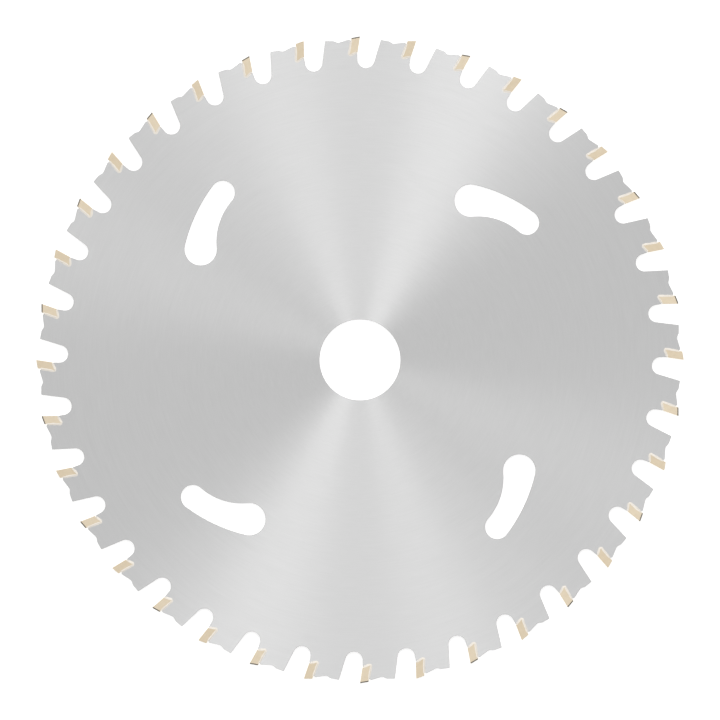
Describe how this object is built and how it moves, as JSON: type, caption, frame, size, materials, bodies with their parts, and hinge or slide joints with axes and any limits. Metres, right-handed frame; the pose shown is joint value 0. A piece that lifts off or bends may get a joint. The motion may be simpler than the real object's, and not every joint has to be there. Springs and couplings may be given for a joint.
{
  "type": "circular saw blade",
  "caption": "Flat steel disc with a central bore, kidney slots and a rim of chip-limited teeth, each with a brazed carbide tip ground to an alternate bevel.",
  "frame": {"origin": "centre of the bore, at the middle of the plate's thickness", "axes": "+Z along the bore axis, out of the side that the picture shows; +Y through the cutting edge of the first tip; seen from +Z the teeth cut clockwise. The blade lies flat, so it rests on the lower corners of its tips at Z = -1.1 mm"},
  "size_m": [0.16, 0.16, 0.0022],
  "materials": {
    "ground_plate_steel": "satin",
    "sintered_carbide": "satin",
    "silver_solder": "satin"
  },
  "bodies": {
    "root": {"saw_plate": "ground_plate_steel", "carbide_tip_01": "sintered_carbide", "carbide_tip_02": "sintered_carbide", "carbide_tip_03": "sintered_carbide", "carbide_tip_04": "sintered_carbide", "carbide_tip_05": "sintered_carbide", "carbide_tip_06": "sintered_carbide", "carbide_tip_07": "sintered_carbide", "carbide_tip_08": "sintered_carbide", "carbide_tip_09": "sintered_carbide", "carbide_tip_10": "sintered_carbide", "carbide_tip_11": "sintered_carbide", "carbide_tip_12": "sintered_carbide", "carbide_tip_13": "sintered_carbide", "carbide_tip_14": "sintered_carbide", "carbide_tip_15": "sintered_carbide", "carbide_tip_16": "sintered_carbide", "carbide_tip_17": "sintered_carbide", "carbide_tip_18": "sintered_carbide", "carbide_tip_19": "sintered_carbide", "carbide_tip_20": "sintered_carbide", "carbide_tip_21": "sintered_carbide", "carbide_tip_22": "sintered_carbide", "carbide_tip_23": "sintered_carbide", "carbide_tip_24": "sintered_carbide", "carbide_tip_25": "sintered_carbide", "carbide_tip_26": "sintered_carbide", "carbide_tip_27": "sintered_carbide", "carbide_tip_28": "sintered_carbide", "carbide_tip_29": "sintered_carbide", "carbide_tip_30": "sintered_carbide", "carbide_tip_31": "sintered_carbide", "carbide_tip_32": "sintered_carbide", "carbide_tip_33": "sintered_carbide", "carbide_tip_34": "sintered_carbide", "carbide_tip_35": "sintered_carbide", "carbide_tip_36": "sintered_carbide", "braze_joints": "silver_solder"}
  },
  "joints": []
}
